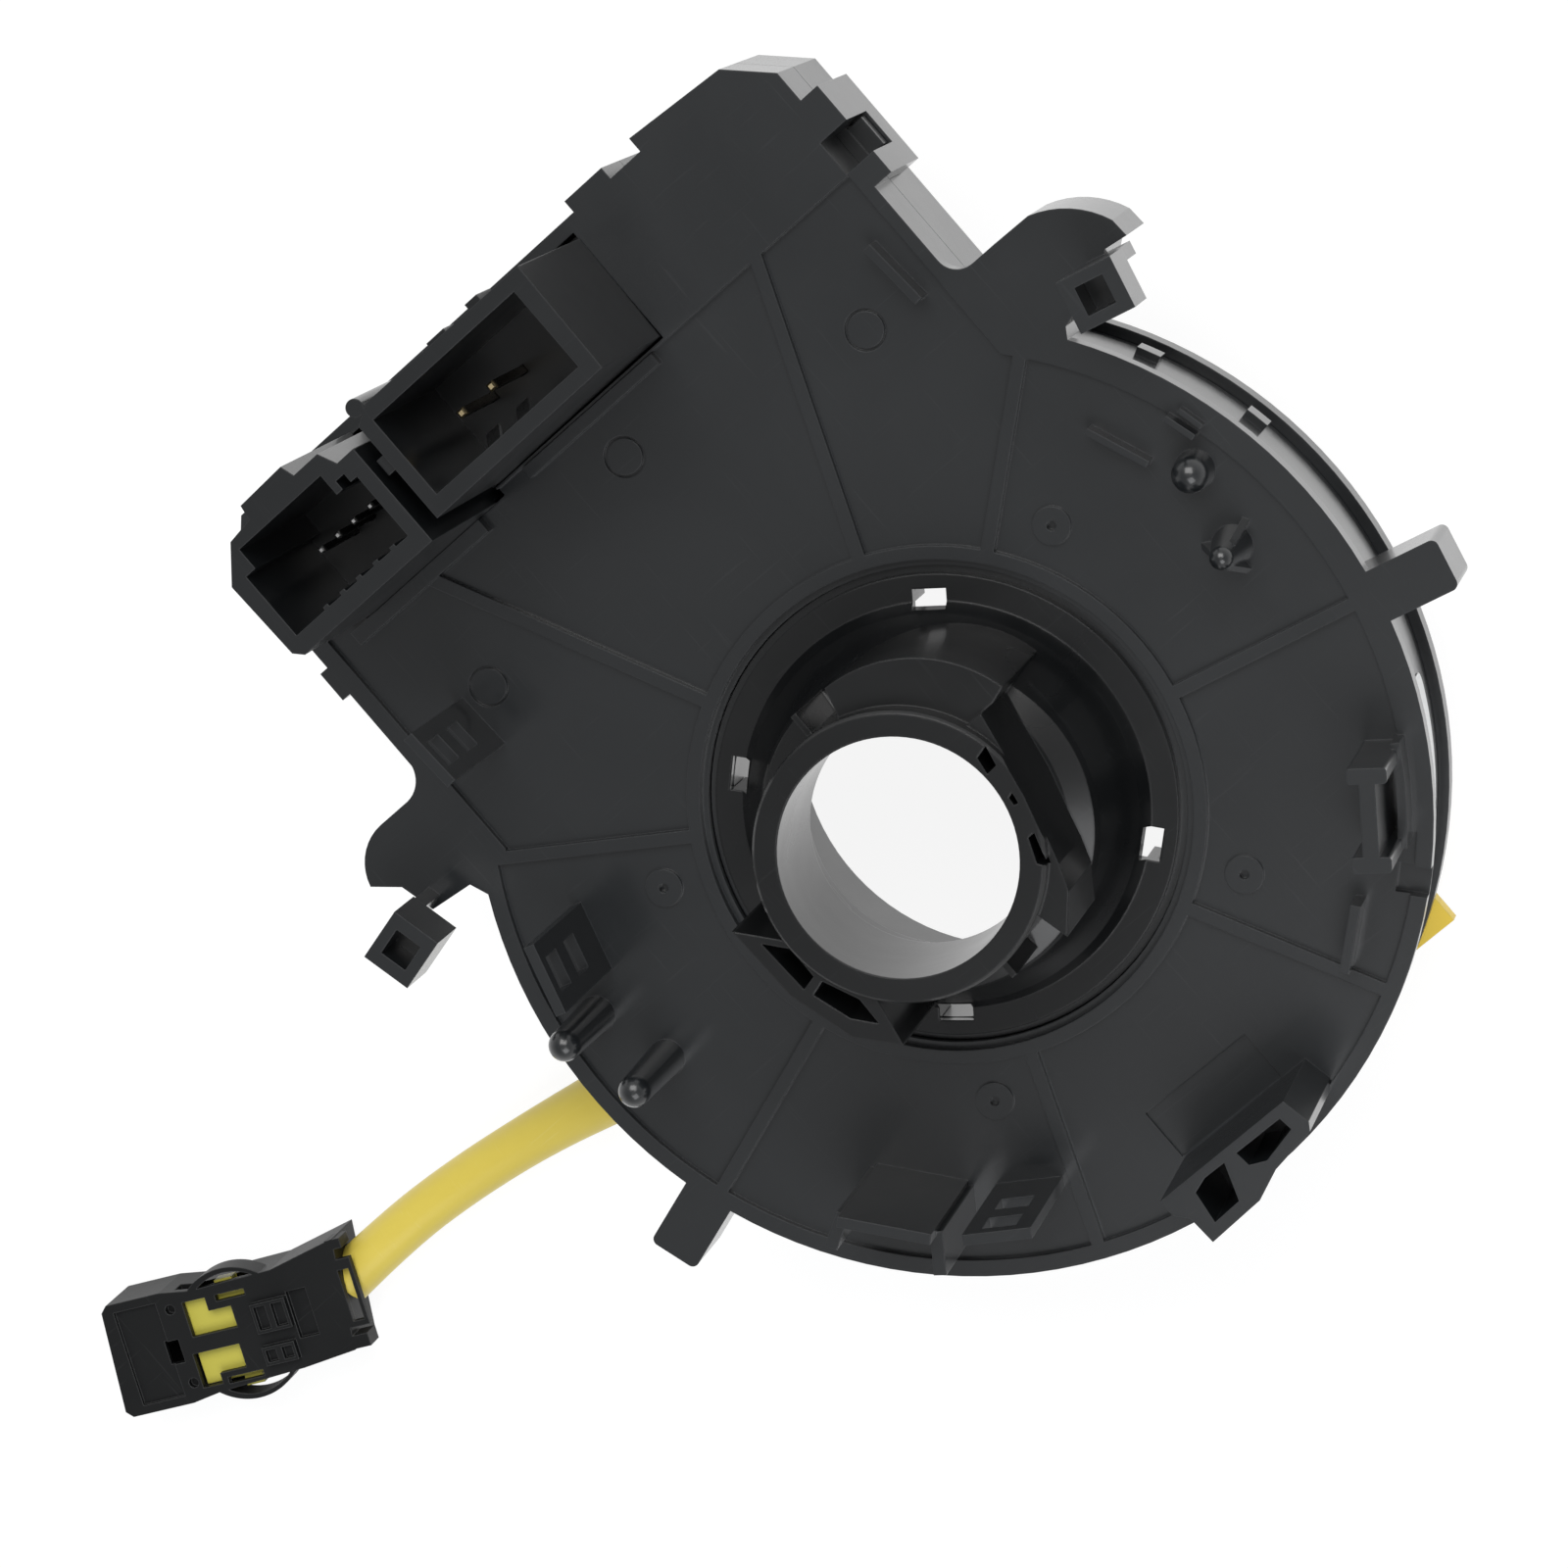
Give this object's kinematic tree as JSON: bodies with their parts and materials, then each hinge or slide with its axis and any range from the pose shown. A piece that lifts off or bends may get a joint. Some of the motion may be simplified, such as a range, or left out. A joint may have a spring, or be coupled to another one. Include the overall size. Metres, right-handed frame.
{
  "type": "steering clock spring",
  "caption": "Round steering clock spring with a turning hub and cancel cam sleeve, a block with two column sockets, and a pigtail with a squib connector.",
  "frame": {"origin": "on the axis of the bore, in the plane of the hub's lowest ring, which the part rests on", "axes": "+Z along the bore towards the steering column; +Y towards the block with the two column sockets; +X to the right of it"},
  "size_m": [0.1942, 0.1282, 0.058],
  "materials": {
    "case_plastic": "fine moulded grain, matt",
    "rotor_plastic": "smooth moulded",
    "sleeve_plastic": "glossy moulded",
    "connector_plastic": "satin moulded",
    "yellow_sleeving": "soft smooth tube",
    "yellow_plastic": "smooth moulded",
    "slip_film": "translucent film",
    "gold_contact": "plated",
    "tin_contact": "tin plated"
  },
  "bodies": {
    "case": {"column_side_case": "case_plastic", "wheel_side_case": "case_plastic", "slip_sheet_column_side": "slip_film", "ribbon_cable": "slip_film", "stator_ribbon_holder": "case_plastic", "column_connector": "case_plastic", "large_socket_pins": "gold_contact", "small_socket_pins": "tin_contact", "shorting_springs": "tin_contact"},
    "rotor": {"rotor_disc": "rotor_plastic", "cancel_cam_sleeve": "sleeve_plastic", "slip_sheet_wheel_side": "slip_film", "rotor_ribbon_holder": "case_plastic", "wheel_harness_socket": "case_plastic", "wheel_socket_pins": "tin_contact", "pigtail_sleeve": "yellow_sleeving", "pigtail_strain_relief": "rotor_plastic", "squib_connector_housing": "connector_plastic", "transit_lock_tab": "yellow_plastic"},
    "squib_lock": {"squib_connector_lock": "yellow_plastic"}
  },
  "joints": [
    {"name": "rotor_turn", "type": "hinge", "parent": "case", "child": "rotor", "pos_m": [0, 0, 0.02], "axis": [0, 0, 1], "range_deg": [-900, 900], "deforming": ["ribbon_cable"]},
    {"name": "squib_lock_slide", "type": "slide", "parent": "rotor", "child": "squib_lock", "axis": [0.9085, -0.4179, 0], "range_m": [0, 0.002]}
  ]
}
